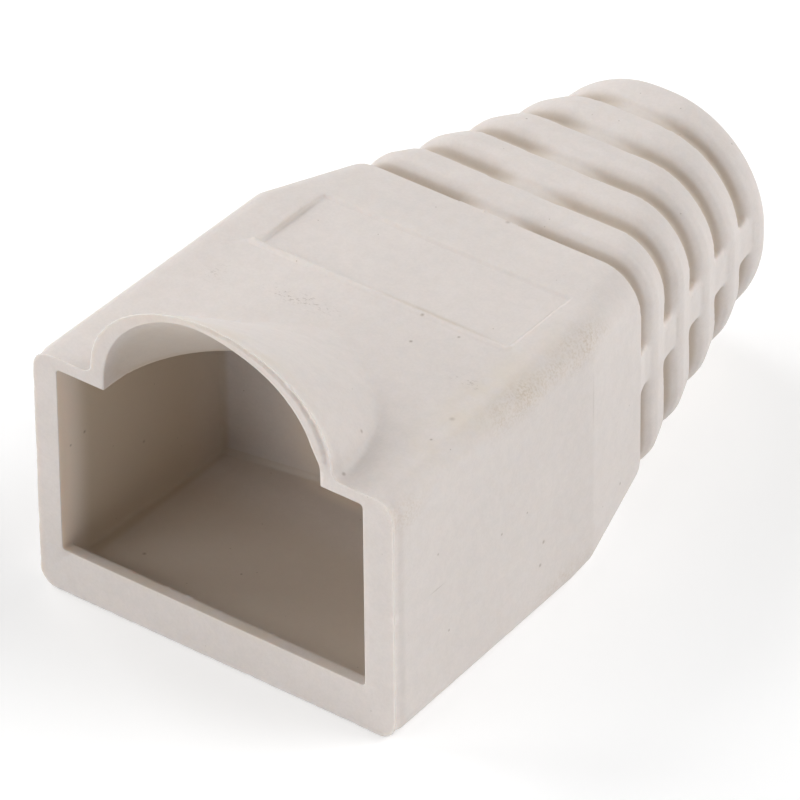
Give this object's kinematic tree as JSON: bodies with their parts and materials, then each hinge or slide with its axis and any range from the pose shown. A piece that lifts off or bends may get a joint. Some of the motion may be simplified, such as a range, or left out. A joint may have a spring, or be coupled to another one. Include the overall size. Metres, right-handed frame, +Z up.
{
  "type": "rj45 strain relief boot",
  "caption": "Light beige moulded PVC boot for an eight-way modular plug, with a square mouth, latch hood, shallow label field and ribbed cable tail.",
  "frame": {"origin": "on the base plane, below the middle of the boot's bounding box", "axes": "+Y runs from the plug mouth to the cable end, +X runs across the boot, +Z is up towards the latch hood"},
  "size_m": [0.014, 0.024, 0.0127],
  "materials": {
    "pvc": "soft matt moulded surface"
  },
  "bodies": {
    "root": {"boot": "pvc"}
  },
  "joints": []
}
